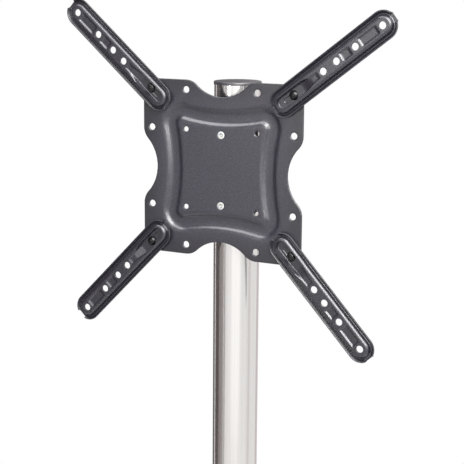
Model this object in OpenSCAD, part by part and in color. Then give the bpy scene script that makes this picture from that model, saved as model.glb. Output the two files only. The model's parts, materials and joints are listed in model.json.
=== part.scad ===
// Display stand with a round base, a steel pole and a four-arm mounting plate.
// Millimetres, +Z up, front towards -Y, origin on the floor at the pole's axis.

/* [Stand] */
// Height from the floor to the top of the cap
stand_h = 1200; // [900:10:1800]
// Distance from the top of the cap down to the centre of the mounting plate
plate_drop = 110; // [100:5:400]
// Outer diameter of the pole
pole_d = 60; // [50:1:76]
// Wall of the pole
pole_wall = 2; // [1.5:0.5:4]
// Height of the cap's visible rim
cap_h = 4; // [3:0.5:10]
// Depth of the cap's plug inside the pole
cap_plug = 16; // [8:1:30]

/* [Base] */
// Diameter of the round base plate
base_d = 500; // [400:10:700]
// Thickness of the base plate
base_t = 8; // [6:1:12]
// Radius of the base plate's upper edge
base_edge = 3; // [1:0.5:5]
// Diameter of a rubber pad
pad_d = 32; // [20:1:50]
// Thickness of a rubber pad
pad_t = 4; // [2:0.5:8]
// Number of rubber pads
pad_count = 6; // [3:1:8]
// Width of the trim collar outside the pole
collar_w = 16; // [10:1:30]
// Height of the trim collar
collar_h = 13; // [9:1:25]
// Height of the foot's plug inside the pole
foot_plug = 34; // [20:1:60]
// Thickness of the foot's flange under the pole
foot_flange = 5; // [3:0.5:8]

/* [Mounting plate] */
// Sheet of the mounting plate
plate_t = 2.5; // [2:0.25:4]
// Distance between the arm pivots
pivot_pitch = 200; // [190:2:240]
// Distance between the inner holes, and between the two holes on each side
small_pitch = 100; // [90:2:110]
// Radius of the plate's corners round the arm pivots
corner_r = 12.5; // [10:0.5:15]
// Depth of the curved cut in each side
scallop_depth = 20; // [12:1:24]
// Radius of the rounded shoulders beside each cut
shoulder_r = 22.5; // [16:0.5:26]
// Diameter of the holes along the plate's sides
side_hole_d = 8.5; // [6:0.5:10]
// Diameter of the inner holes
inner_hole_d = 6.5; // [5:0.5:8]
// Distance from the plate's centre to the middle of the pressed channel
channel_mid = 66; // [63:0.5:70]
// How far the channel's corners lie beyond its sides
channel_bow = 6.1; // [4:0.1:8]
// Flat floor of the channel
channel_floor = 11.6; // [8:0.2:13]
// Width of each sloped side of the channel
channel_slope = 4.4; // [3:0.2:6]
// Depth of the channel
channel_depth = 4; // [2:0.25:5]
// Inside radius of the channel's bends
channel_bend = 1.5; // [1:0.1:2]
// Inside radius of the channel's corners
channel_corner = 4.5; // [2:0.5:8]

/* [Arms] */
// Sheet of the arms
arm_sheet = 2; // [1.5:0.25:2.5]
// Height of the arm's raised face above the mounting plate
arm_rise = 8; // [7:0.25:10]
// Radius of the raised face's edge
face_bend = 1.6; // [0.8:0.1:2]
// Half width of the raised face beside the holes
face_half = 10.3; // [9.5:0.1:11]
// Half width of the raised face round the pivot pocket
shoulder_half = 11.6; // [11:0.1:13]
// Flat valley between the raised face's walls and the turned-up rim
valley_w = 0.3; // [0.2:0.1:1.5]
// Width over which the rim turns up
rim_run = 2.3; // [1.5:0.1:3.5]
// Width of the rim's flat edge
rim_flat = 1.4; // [1:0.1:2]
// Height of the turned-up rim above the mounting plate
rim_h = 5.2; // [4:0.1:6]
// Width of the gap in the rim at both ends
notch_w = 12.6; // [8:0.2:16]
// Diameter of the four holes for the screen's screws
arm_hole_d = 9; // [7:0.5:10]
// Distance from the pivot to the nearest of the four holes
first_hole = 50; // [48:1:60]
// How far the arm slides out along its slot
arm_travel = 12; // [8:0.5:14]
// Flat left between a hole and the pressed recess beside it
web = 4.4; // [3:0.2:6]
// Depth of the shallow recesses
recess_depth = 1.3; // [0.8:0.1:1.8]
// Half width of the shallow recesses' floors
recess_half = 4.6; // [3.5:0.1:5.5]
// Angle of the upper left arm, from +X towards +Z
upper_left_angle = 138.9; // [95:0.1:175]
// Angle of the upper right arm
upper_right_angle = 37.4; // [5:0.1:85]
// Angle of the lower left arm
lower_left_angle = 225.6; // [185:0.1:265]
// Angle of the lower right arm
lower_right_angle = 312.7; // [275:0.1:355]

/* [Fasteners] */
// Diameter of the pivot bolts and of the plate's screws
bolt_d = 6; // [5:0.5:6.5]
// Diameter of a pivot bolt's domed head
dome_d = 12; // [10:0.5:13]
// Height of a pivot bolt's domed head
dome_h = 3.6; // [2.5:0.1:4.5]
// Diameter of the washers
washer_d = 18; // [14:0.5:20]
// Thickness of the washers
washer_t = 1.6; // [1:0.1:2]
// Width of the nuts across their flats
nut_af = 10; // [9:0.5:11]
// Height of a nut's hexagon
nut_h = 4.6; // [4:0.2:6]
// Height of a nut's locking collar
lock_h = 1.4; // [1:0.1:2]
// Length of a pivot bolt beyond its nut
bolt_tail = 2; // [1:0.5:5]
// Diameter of the plate screws' flat heads
head_d = 10.4; // [10:0.1:10.9]
// Distance of each plate screw from the plate's centre
screw_z = 45; // [36:1:46]
// Length of a plate screw beyond the nut bar
screw_tail = 1.5; // [1:0.5:5]
// Diameter of the base bolts
base_bolt_d = 8; // [6:0.5:9]
// Length of the base bolts
base_bolt_len = 30; // [20:1:34]

/* [Saddle] */
// Distance between the pole and the back of the mounting plate
saddle_gap = 13.5; // [11:0.5:30]
// Distance between the saddle's foot and the inner holes beside it
saddle_room = 1; // [0.5:0.5:8]
// Thickness of the saddle's foot
saddle_foot = 5; // [4:0.5:8]
// How far the saddle's body stands in from the edge of its foot
saddle_step = 5.5; // [2:0.5:8]
// How far the saddle reaches back round the pole
saddle_wrap = 8; // [5:0.5:10]
// Metal beyond each screw at the saddle's ends
saddle_end = 8; // [6:0.5:8]
// Width of the nut bar inside the pole
bar_w = 18; // [14:1:22]
// Thickness of the nut bar
bar_t = 10; // [8:0.5:14]

/* [Fits] */
// Radial clearance of a bolt in the hole that it turns in
run_fit = 0.05; // [0.02:0.01:0.1]
// Clearance of a bolt's square neck in the arm's slot, on each side
slot_fit = 0.1; // [0.05:0.01:0.2]
// Clearance of a bolt or screw in a plain hole, on each side
hole_fit = 0.25; // [0.2:0.05:0.4]
// Gap between curved faces that seat on each other
seat_gap = 0.3; // [0.2:0.05:0.5]

/* [Hidden] */
$fn = 64;
// Extra length of every cut past the faces that it leaves
over = 1;
// Flats along each bend, and how far a bend's last one runs on past the face that it meets
bend_steps = 3;
lift_share = 0.5;
// Flats along each corner of the pressed channel, and along each of its bowed sides
corner_steps = 12;
side_steps = 10;

// Stand: heights and the place of the mounting plate
pole_r = pole_d / 2;
bore_r = pole_r - pole_wall;
plug_r = bore_r - seat_gap;
base_r = base_d / 2;
base_z = pad_t;
base_top = base_z + base_t;
pole_z = base_top + foot_flange;
cap_z = stand_h - cap_h;
plate_y = -(pole_r + saddle_gap + plate_t);
plate_z = stand_h - plate_drop;

// Base: its pads, bolts, foot and collar, and the cap on the pole
pad_inset = 12;
pad_ring_r = base_r - pad_inset - pad_d / 2;
base_bolt_count = 4;
base_bolt_r = base_bolt_d / 2;
foot_wall = 6;
foot_chamfer = 2;
base_ring_r = plug_r - foot_wall - base_bolt_r;
hex_share = 0.37;
hex_depth_share = 0.75;
base_head_share = 0.92;
base_head_r = base_bolt_d * base_head_share;
base_head_h = base_head_r - base_bolt_r;
collar_cove_share = 0.58;
cove_r = collar_h * collar_cove_share;
cap_edge = 1.2;
cap_lip = 0.7;
cap_wall = 2.5;

// Mounting plate: outline and pressed channel
pivot_c = pivot_pitch / 2;
small_c = small_pitch / 2;
plate_half = pivot_c + corner_r;
scallop_r = (small_c ^ 2 + scallop_depth ^ 2) / (2 * scallop_depth) - shoulder_r;
scallop_c = plate_half - scallop_depth + scallop_r;
channel_top = channel_floor / 2 + channel_slope;
channel_shift = plate_t * sqrt(channel_slope ^ 2 + channel_depth ^ 2) / channel_depth;
ridge_root = channel_top + channel_shift - channel_slope * plate_t / channel_depth;
ridge_face = ridge_root - channel_slope;
channel_corner_r = ridge_root + channel_corner;
channel_c = channel_mid + channel_bow - channel_corner_r;
channel_side_r = (channel_c ^ 2 + (channel_mid - channel_c) ^ 2 - channel_corner_r ^ 2)
    / (2 * channel_bow);
channel_side_c = channel_mid + channel_side_r;
channel_turn = atan2(channel_c, channel_side_c - channel_c);

// Fasteners
bolt_r = bolt_d / 2;
screw_hole_r = bolt_r + hole_fit;
dome_r = dome_d / 2;
head_r = head_d / 2;
head_h = head_r - bolt_r;
neck_share = 1.05;
neck_w = bolt_d * neck_share;
nut_chamfer_share = 0.12;
bolt_len = plate_t + washer_t + nut_h + lock_h + bolt_tail;
saddle_h = 2 * (screw_z + saddle_end);
saddle_half = small_c - inner_hole_d / 2 - saddle_room;
body_half = saddle_half - saddle_step;
screw_len = -plate_y - (plug_r - bar_t) + screw_tail;

// Arms: holes and slot, then the half widths of each form where it stands on the plate
arm_hole_r = arm_hole_d / 2;
hole_shares = [1, sqrt(2), 2, 2 * sqrt(2)];
holes_x = first_hole * hole_shares;
tip_x = holes_x[3];
slot_r = neck_w / 2 + slot_fit;
slot_end = neck_w / 2 + slot_fit - sqrt(slot_r ^ 2 - (neck_w / 2) ^ 2);
pocket_margin = 0.8;
pocket_tail = 4.5;
pocket_half = dome_r + pocket_margin;
inner_x = -(arm_travel + pocket_tail);
draft = 0.38;
wall_side = arm_sheet * sqrt(1 + draft ^ 2);
face_foot = face_half + draft * arm_rise;
shoulder_foot = shoulder_half + draft * arm_rise;
flare = 0.37;
flare_side = arm_sheet * (sqrt(1 + flare ^ 2) - flare);
recess_z = arm_rise - recess_depth;
recess_run = recess_depth;
pocket_run_share = 0.22;
pocket_neck_share = 0.36;
shoulder_end_share = 0.54;
ramp_end_share = 0.62;
neck_half_share = 0.78;
ramp_half_share = 0.62;
end_half_share = 0.46;
pocket_end = first_hole - arm_hole_r - web - recess_run / 2;
face_stations = [
    [inner_x, shoulder_foot],
    [first_hole * pocket_run_share, shoulder_foot],
    [first_hole * shoulder_end_share, face_foot],
    [tip_x, face_foot]];
pocket_stations = [
    [inner_x, arm_sheet, pocket_half],
    [first_hole * pocket_run_share, arm_sheet, pocket_half],
    [first_hole * pocket_neck_share, arm_sheet, pocket_half * neck_half_share],
    [first_hole * ramp_end_share, recess_z, pocket_half * ramp_half_share],
    [pocket_end, recess_z, pocket_half * end_half_share],
    [pocket_end + recess_run, arm_rise, pocket_half * end_half_share + flare * recess_depth]];

// Turned-up rim, as seen in section
rim_foot = shoulder_half + draft * (arm_rise - arm_sheet) + valley_w;
rim_r = rim_foot + rim_run + rim_flat;
rim_rise = rim_h - arm_sheet;
rim_shift = arm_sheet * sqrt(rim_run ^ 2 + rim_rise ^ 2) / rim_rise;
rim_back = rim_foot + rim_shift - rim_run * arm_sheet / rim_rise;
rim_under = (rim_r - rim_back) * rim_rise / rim_run;
notch_step = 0.4;
notch_r = sqrt(rim_r ^ 2 - (notch_w / 2) ^ 2) - notch_step;

function dir(a) = [cos(a), sin(a)];

// Points of a bend of radius r at a corner, from the heading of one side to that of the next
function bend(corner, from, to, r) = let (
    side = 90 * sign(to - from),
    step = (to - from) / bend_steps,
    centre = corner - r * tan(abs(to - from) / 2) * dir(from) + r * dir(from + side))
    [for (i = [0 : bend_steps - 1])
        centre - r / cos(step / 2) * dir(from + step * (i + 1 / 2) + side)];

// A half section, [half width, z] from its foot up, with its mirror image
function mirrored(half) = concat(half, [for (i = [len(half) - 1 : -1 : 0]) [-half[i][0], half[i][1]]]);

// Body along x through the half sections of its stations, each [x, half section]
module run(stations) {
    rings = [for (s = stations) [for (p = mirrored(s[1])) [s[0], p[0], p[1]]]];
    n = len(rings[0]);
    points = [for (r = rings) each r];
    sides = [for (i = [0 : len(rings) - 2], k = [0 : n - 1]) let (a = n * i + k, b = n * i + (k + 1) % n)
        each [[b, a, a + n], [b, a + n, b + n]]];
    first = [for (k = [0 : n - 1]) k];
    last = [for (k = first) len(points) - 1 - k];
    polyhedron(points, concat([first], sides, [last]));
}

// Round end of a run, at its station s
module round_end(s) {
    half = s[1];
    translate([s[0], 0, 0]) rotate_extrude()
        polygon(concat([[0, half[0][1]]], half, [[0, half[len(half) - 1][1]]]));
}

// The half section of a straight wall, from half width w at z up to the height top
function wall(w, z, top, slope) = [[w, z], [w + slope * (top - z), top]];

// Stations of the raised face, of the hollow under it, and of a pressing's front and back
function raised(list) = [for (s = list) [s[0], concat([[s[1], 0]],
    bend([s[1] - draft * arm_rise, arm_rise], 90 + atan(draft), 180, face_bend))]];
function hollow(list) = [for (s = list)
    [s[0], wall(s[1] - wall_side + draft * over, -over, arm_rise - arm_sheet, -draft)]];
function pressed(list) = [for (s = list) [s[0], wall(s[2], s[1], arm_rise + over, flare)]];
function backed(list) = [for (s = list)
    [s[0], wall(s[2] + flare_side, s[1] - arm_sheet, arm_rise, flare)]];

// Recess between holes i and i + 1 of the arm
function recess_stations(i) = let (
    gap = arm_hole_r + web + recess_run / 2,
    a = holes_x[i] + gap,
    b = holes_x[i + 1] - gap,
    top_half = recess_half + flare * recess_depth) [
    [a - recess_run, arm_rise, top_half],
    [a, recess_z, recess_half],
    [b, recess_z, recess_half],
    [b + recess_run, arm_rise, top_half]];

// Places what is drawn flat, with +Z to the front, at x and z on the plate's face
module on_plate(x, z) {
    translate([x, plate_y, plate_z + z]) rotate([90, 0, 0]) children();
}

module each_corner(c) {
    for (x = [-c, c], y = [-c, c]) translate([x, y, 0]) children();
}

module hexagon(af, h) {
    cylinder(h = h, r = af / sqrt(3), $fn = 6);
}

// Disc in half section, with a rounded upper edge
module edged_disc(r, h, edge) {
    square([r - edge, h]);
    square([r, h - edge]);
    translate([r - edge, h - edge]) circle(edge);
}

module base_plate() {
    color([0.16, 0.16, 0.17]) translate([0, 0, base_z]) difference() {
        rotate_extrude() edged_disc(base_r, base_t, base_edge);
        each_base_bolt() {
            translate([0, 0, -over]) cylinder(h = base_t + 2 * over, r = base_bolt_r + hole_fit);
            translate([0, 0, -over]) cylinder(h = base_head_h + over,
                r1 = base_head_r + hole_fit + over, r2 = base_bolt_r + hole_fit);
        }
    }
}

module each_base_bolt() {
    for (i = [0 : base_bolt_count - 1])
        rotate((i + 1 / 2) * 360 / base_bolt_count) translate([base_ring_r, 0, 0]) children();
}

module base_bolts() {
    color([0.6, 0.6, 0.62]) translate([0, 0, base_z]) each_base_bolt() difference() {
        union() {
            cylinder(h = base_head_h, r1 = base_head_r, r2 = base_bolt_r);
            cylinder(h = base_bolt_len, r = base_bolt_r);
        }
        translate([0, 0, -over])
            hexagon(2 * base_head_r * hex_share, base_head_h * hex_depth_share + over);
    }
}

module base_feet() {
    color([0.08, 0.08, 0.08]) for (i = [0 : pad_count - 1])
        rotate(i * 360 / pad_count) translate([pad_ring_r, 0, 0]) cylinder(h = pad_t, r = pad_d / 2);
}

module base_collar() {
    color([0.78, 0.78, 0.8]) translate([0, 0, base_top]) rotate_extrude() difference() {
        translate([pole_r + seat_gap, 0]) square([collar_w - seat_gap, collar_h]);
        translate([pole_r + collar_w, collar_h]) circle(cove_r);
    }
}

module pole_foot() {
    color([0.35, 0.35, 0.36]) translate([0, 0, base_top]) difference() {
        union() {
            cylinder(h = foot_flange, r = pole_r);
            cylinder(h = foot_flange + foot_plug - foot_chamfer, r = plug_r);
            translate([0, 0, foot_flange + foot_plug - foot_chamfer])
                cylinder(h = foot_chamfer, r1 = plug_r, r2 = plug_r - foot_chamfer);
        }
        translate([0, 0, -over]) each_base_bolt()
            cylinder(h = base_bolt_len - base_t + 2 * over, r = base_bolt_r + run_fit);
    }
}

module pole_tube() {
    color([0.8, 0.8, 0.82]) difference() {
        translate([0, 0, pole_z]) cylinder(h = cap_z - pole_z, r = pole_r);
        translate([0, 0, pole_z - over]) cylinder(h = cap_z - pole_z + 2 * over, r = bore_r);
        for (z = [-screw_z, screw_z]) on_plate(0, z)
            translate([0, 0, plate_y]) cylinder(h = -plate_y, r = screw_hole_r);
    }
}

module pole_cap() {
    color([0.12, 0.12, 0.12]) translate([0, 0, cap_z]) rotate_extrude() {
        edged_disc(pole_r + cap_lip, cap_h, cap_edge);
        translate([plug_r - cap_wall, -cap_plug]) square([cap_wall, cap_plug + cap_h / 2]);
    }
}

module pole_saddle() {
    front = plate_y + plate_t;
    back = saddle_wrap - pole_r;
    color([0.14, 0.14, 0.15]) difference() {
        translate([0, 0, plate_z - saddle_h / 2]) linear_extrude(height = saddle_h) difference() {
            polygon([
                [-saddle_half, front], [saddle_half, front],
                [saddle_half, front + saddle_foot], [body_half, front + 2 * saddle_foot],
                [body_half, back], [-body_half, back],
                [-body_half, front + 2 * saddle_foot], [-saddle_half, front + saddle_foot]]);
            circle(pole_r + seat_gap);
        }
        for (z = [-screw_z, screw_z]) on_plate(0, z)
            translate([0, 0, plate_y]) cylinder(h = -plate_y, r = screw_hole_r);
    }
}

module nut_bar() {
    color([0.6, 0.6, 0.62]) difference() {
        translate([0, 0, plate_z - saddle_h / 2]) linear_extrude(height = saddle_h) intersection() {
            circle(plug_r);
            translate([-bar_w / 2, -plug_r]) square([bar_w, bar_t]);
        }
        for (z = [-screw_z, screw_z]) on_plate(0, z)
            translate([0, 0, plate_y]) cylinder(h = -plate_y, r = bolt_r + run_fit);
    }
}

module plate_screw(z) {
    color([0.85, 0.85, 0.86]) on_plate(0, z) difference() {
        union() {
            translate([0, 0, -head_h]) cylinder(h = head_h, r1 = bolt_r, r2 = head_r);
            translate([0, 0, -screw_len]) cylinder(h = screw_len, r = bolt_r);
        }
        translate([0, 0, -head_h * hex_depth_share])
            hexagon(head_d * hex_share, head_h * hex_depth_share + over);
    }
}

// Curved cut in the plate's upper side, up to the rounded shoulders beside it
module side_cut() {
    top = scallop_c + over;
    shoulder_y = plate_half - shoulder_r;
    difference() {
        union() {
            translate([0, scallop_c]) circle(scallop_r);
            polygon([[-small_c, top], [-small_c, shoulder_y], [0, scallop_c],
                [small_c, shoulder_y], [small_c, top]]);
        }
        for (x = [-small_c, small_c]) translate([x, shoulder_y]) circle(shoulder_r);
    }
}

module plate_outline() {
    difference() {
        union() {
            square(2 * [plate_half, pivot_c], center = true);
            square(2 * [pivot_c, plate_half], center = true);
            each_corner(pivot_c) circle(corner_r);
        }
        for (side = [0 : 3]) rotate(90 * side) side_cut();
    }
}

// Half section of one face of the pressed sheet, from its floor up past the flat face
function channel_half(floor_half, top_half, face_z, floor_r, top_r, end_z) = let (
    angle = atan(channel_depth / channel_slope),
    low = bend([floor_half, face_z - channel_depth], 0, angle, floor_r),
    high = bend([top_half, face_z], angle, 0, top_r),
    last = high[bend_steps - 1],
    lift = last + (last - high[bend_steps - 2]) * lift_share)
    concat(low, [for (i = [0 : bend_steps - 2]) high[i]], [lift, [lift[0], end_z]]);

// One ring of a section, at an angle about a centre, turned with its side of the plate
function channel_ring(section, centre, r, angle, turn) = [for (p = section) let (
    q = centre + (r + p[0]) * dir(angle))
    [q[0] * cos(turn) - q[1] * sin(turn), q[0] * sin(turn) + q[1] * cos(turn), p[1]]];

// Rings of a section round the channel: each corner, then the bowed side after it
function channel_rings(section) = [for (side = [0 : 3]) each concat(
    [for (i = [0 : corner_steps]) channel_ring(section, [channel_c, channel_c], channel_corner_r,
        -channel_turn + i * (90 + 2 * channel_turn) / corner_steps, 90 * side)],
    [for (i = [1 : side_steps - 1]) channel_ring(section, [0, channel_side_c], -channel_side_r,
        90 + channel_turn - 2 * i * channel_turn / side_steps, 90 * side)])];

// Sweeps a section along the pressed channel, as one closed body
module along_channel(section) {
    rings = channel_rings(section);
    n = len(section);
    count = len(rings) * n;
    polyhedron([for (r = rings) each r], [for (j = [0 : len(rings) - 1], k = [0 : n - 1]) let (
        a = n * j + k,
        b = n * j + (k + 1) % n)
        [a, b, (b + n) % count, (a + n) % count]]);
}

module mount_plate() {
    color([0.22, 0.22, 0.24]) on_plate(0, 0) difference() {
        union() {
            translate([0, 0, -plate_t]) linear_extrude(height = plate_t) plate_outline();
            along_channel(mirrored(channel_half(ridge_face, ridge_root, -plate_t,
                channel_bend + plate_t, channel_bend, -plate_t / 2)));
        }
        along_channel(mirrored(channel_half(channel_floor / 2, channel_top, 0,
            channel_bend, channel_bend + plate_t, over)));
        translate([0, 0, -plate_t - over]) {
            through = plate_t + 2 * over;
            each_corner(pivot_c) cylinder(h = through, r = bolt_r + run_fit);
            each_corner(small_c) cylinder(h = through, r = inner_hole_d / 2);
            for (x = [-pivot_c, pivot_c], y = [-small_c, small_c]) {
                translate([x, y, 0]) cylinder(h = through, r = side_hole_d / 2);
                translate([y, x, 0]) cylinder(h = through, r = side_hole_d / 2);
            }
            for (y = [-screw_z, screw_z]) translate([0, y, 0]) cylinder(h = through, r = screw_hole_r);
        }
        for (y = [-screw_z, screw_z]) translate([0, y, -head_h])
            cylinder(h = head_h + over, r1 = screw_hole_r, r2 = head_r + hole_fit + over);
    }
}

// Turned-up rim in section, with the valley floor inside it
module rim_section() {
    polygon([[face_foot - wall_side, 0], [rim_back, 0], [rim_r, rim_under], [rim_r, rim_h],
        [rim_r - rim_flat, rim_h], [rim_foot, arm_sheet], [face_foot - wall_side, arm_sheet]]);
}

module rim() {
    for (m = [0, 1]) mirror([0, m, 0]) translate([inner_x, 0, 0]) rotate([90, 0, 90])
        linear_extrude(height = tip_x - inner_x) rim_section();
    translate([tip_x, 0, 0]) rotate(-90) rotate_extrude(angle = 180) rim_section();
    translate([inner_x, 0, 0]) rotate(90) rotate_extrude(angle = 180) rim_section();
}

module arm_face() {
    outside = raised(face_stations);
    run(outside);
    round_end(outside[0]);
    round_end(outside[3]);
}

module arm_hollow() {
    inside = hollow(face_stations);
    run(inside);
    round_end(inside[0]);
    round_end(inside[3]);
}

module pocket(stations) {
    run(stations);
    round_end(stations[0]);
}

module arm_slot() {
    ends = [-arm_travel - slot_end, slot_end];
    for (x = ends) translate([x, 0, -over]) cylinder(h = arm_rise, r = slot_r);
    translate([ends[0], -slot_r, -over]) cube([ends[1] - ends[0], 2 * slot_r, arm_rise]);
}

module each_end() {
    translate([tip_x, 0, 0]) children();
    translate([inner_x, 0, 0]) rotate(180) children();
}

// Flat sheet in the rim's gaps, out to their straight edges
module notch_floors() {
    each_end() intersection() {
        rotate_extrude() translate([rim_foot - arm_sheet, 0])
            square([rim_r + over - rim_foot + arm_sheet, arm_sheet]);
        translate([0, -notch_w / 2, -over]) cube([notch_r, notch_w, arm_sheet + 2 * over]);
    }
}

module rim_notches() {
    each_end() {
        translate([notch_r, -notch_w / 2, -over]) cube([rim_r - notch_r + over, notch_w, rim_h + 2 * over]);
        intersection() {
            rotate_extrude() translate([rim_foot, arm_sheet]) square([rim_r + over - rim_foot, rim_h]);
            translate([0, -notch_w / 2, 0]) cube([rim_r + over, notch_w, rim_h + over]);
        }
    }
}

module arm(x, z, angle) {
    color([0.15, 0.15, 0.17]) on_plate(x, z) rotate(angle) difference() {
        union() {
            rim();
            notch_floors();
            difference() {
                arm_face();
                difference() {
                    arm_hollow();
                    pocket(backed(pocket_stations));
                    for (i = [1, 2]) run(backed(recess_stations(i)));
                }
            }
        }
        pocket(pressed(pocket_stations));
        for (i = [1, 2]) run(pressed(recess_stations(i)));
        for (hole_x = holes_x) translate([hole_x, 0, -over])
            cylinder(h = arm_rise + 2 * over, r = arm_hole_r);
        arm_slot();
        rim_notches();
    }
}

module pivot_bolt(x, z, angle) {
    dome_sphere_r = (dome_r ^ 2 + dome_h ^ 2) / (2 * dome_h);
    color([0.1, 0.1, 0.11]) on_plate(x, z) rotate(angle) {
        translate([0, 0, arm_sheet]) intersection() {
            translate([0, 0, dome_h - dome_sphere_r]) sphere(dome_sphere_r);
            cylinder(h = dome_h + over, r = dome_r);
        }
        translate([-neck_w / 2, -neck_w / 2, 0]) cube([neck_w, neck_w, arm_sheet]);
        translate([0, 0, -bolt_len]) cylinder(h = bolt_len, r = bolt_r);
    }
}

module washer(x, z) {
    color([0.62, 0.62, 0.64]) on_plate(x, z) translate([0, 0, -plate_t - washer_t]) difference() {
        cylinder(h = washer_t, r = washer_d / 2);
        translate([0, 0, -over]) cylinder(h = washer_t + 2 * over, r = bolt_r + hole_fit);
    }
}

module lock_nut(x, z, angle) {
    back = plate_t + washer_t + nut_h;
    chamfer = nut_af * nut_chamfer_share;
    color([0.62, 0.62, 0.64]) on_plate(x, z) rotate(angle) translate([0, 0, -back]) difference() {
        union() {
            intersection() {
                hexagon(nut_af, nut_h);
                cylinder(h = nut_h, r1 = nut_af / 2, r2 = nut_af / 2 + nut_h);
            }
            translate([0, 0, -lock_h]) cylinder(h = lock_h, r1 = nut_af / 2 - chamfer, r2 = nut_af / 2);
        }
        translate([0, 0, -lock_h - over]) cylinder(h = nut_h + lock_h + 2 * over, r = bolt_r + run_fit);
    }
}

base_plate();
base_feet();
base_collar();
base_bolts();
pole_foot();
pole_tube();
pole_cap();
pole_saddle();
nut_bar();
plate_screw(screw_z);  // upper_plate_screw
plate_screw(-screw_z);  // lower_plate_screw
mount_plate();
arm(-pivot_c, pivot_c, upper_left_angle);  // upper_left_arm
arm(pivot_c, pivot_c, upper_right_angle);  // upper_right_arm
arm(-pivot_c, -pivot_c, lower_left_angle);  // lower_left_arm
arm(pivot_c, -pivot_c, lower_right_angle);  // lower_right_arm
pivot_bolt(-pivot_c, pivot_c, upper_left_angle);  // upper_left_bolt
pivot_bolt(pivot_c, pivot_c, upper_right_angle);  // upper_right_bolt
pivot_bolt(-pivot_c, -pivot_c, lower_left_angle);  // lower_left_bolt
pivot_bolt(pivot_c, -pivot_c, lower_right_angle);  // lower_right_bolt
washer(-pivot_c, pivot_c);  // upper_left_washer
washer(pivot_c, pivot_c);  // upper_right_washer
washer(-pivot_c, -pivot_c);  // lower_left_washer
washer(pivot_c, -pivot_c);  // lower_right_washer
lock_nut(-pivot_c, pivot_c, upper_left_angle);  // upper_left_nut
lock_nut(pivot_c, pivot_c, upper_right_angle);  // upper_right_nut
lock_nut(-pivot_c, -pivot_c, lower_left_angle);  // lower_left_nut
lock_nut(pivot_c, -pivot_c, lower_right_angle);  // lower_right_nut
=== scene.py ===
import json
import math
import bmesh
import bpy
from mathutils import Matrix, Vector


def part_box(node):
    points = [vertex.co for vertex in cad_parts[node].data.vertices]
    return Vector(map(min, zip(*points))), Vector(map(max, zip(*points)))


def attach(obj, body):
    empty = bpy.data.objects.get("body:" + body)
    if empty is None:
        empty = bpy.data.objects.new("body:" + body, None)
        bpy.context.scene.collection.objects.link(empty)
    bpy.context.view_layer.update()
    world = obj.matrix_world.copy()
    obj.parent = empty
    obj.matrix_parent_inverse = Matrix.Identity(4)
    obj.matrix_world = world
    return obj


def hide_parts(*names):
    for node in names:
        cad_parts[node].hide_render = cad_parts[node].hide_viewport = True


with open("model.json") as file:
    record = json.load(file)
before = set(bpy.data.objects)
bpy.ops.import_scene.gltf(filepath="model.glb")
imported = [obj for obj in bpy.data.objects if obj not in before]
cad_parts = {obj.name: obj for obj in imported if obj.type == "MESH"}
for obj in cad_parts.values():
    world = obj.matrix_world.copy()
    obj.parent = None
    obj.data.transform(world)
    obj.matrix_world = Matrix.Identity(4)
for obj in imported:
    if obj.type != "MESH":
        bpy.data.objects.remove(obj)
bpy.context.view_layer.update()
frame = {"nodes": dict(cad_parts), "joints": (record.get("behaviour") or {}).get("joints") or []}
nodes = frame["nodes"]
corners = ["upper_left", "upper_right", "lower_left", "lower_right"]
print("frame loaded:", len(nodes), "nodes")


# The camera that the photo was taken with, as fitted to the plate's holes
cameraShot = {
    "place": (0.7094, -1.4127, 1.3230),  # metres
    "yaw": 26.88,  # degrees round from the front
    "pitch": 11.44,  # degrees down
    "roll": 0.44,
    "lens": 95.70,
    "sensor": 36.0,
    "clip": (0.05, 60),
}


def makeCamera(shot):
    yaw, pitch, roll = (math.radians(shot[key]) for key in ("yaw", "pitch", "roll"))
    forward = Vector((-math.sin(yaw) * math.cos(pitch), math.cos(yaw) * math.cos(pitch), -math.sin(pitch)))
    level = Vector((math.cos(yaw), math.sin(yaw), 0))
    up = level.cross(forward)
    right = math.cos(roll) * level + math.sin(roll) * up
    top = math.cos(roll) * up - math.sin(roll) * level
    data = bpy.data.cameras.new("photoView")
    data.lens, data.sensor_width = shot["lens"], shot["sensor"]
    data.clip_start, data.clip_end = shot["clip"]
    camera = bpy.data.objects.new("photoView", data)
    turned = Matrix((right, top, -forward)).transposed().to_4x4()
    camera.matrix_world = Matrix.Translation(shot["place"]) @ turned
    bpy.context.scene.collection.objects.link(camera)
    bpy.context.scene.camera = camera


makeCamera(cameraShot)
print("camera placed")


class Value:  # a value in a material, so that node maths reads as a sum
    def __init__(self, finish, socket):
        self.finish, self.socket = finish, socket

    def maths(self, operation, *others):
        return self.finish.node("ShaderNodeMath", {"operation": operation}, dict(enumerate((self, *others))))

    def __add__(self, other):
        return self.maths("ADD", other)

    def __sub__(self, other):
        return self.maths("SUBTRACT", other)

    def __mul__(self, other):
        return self.maths("MULTIPLY", other)

    def __pow__(self, other):
        return self.maths("POWER", other)

    __radd__ = __add__


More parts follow.
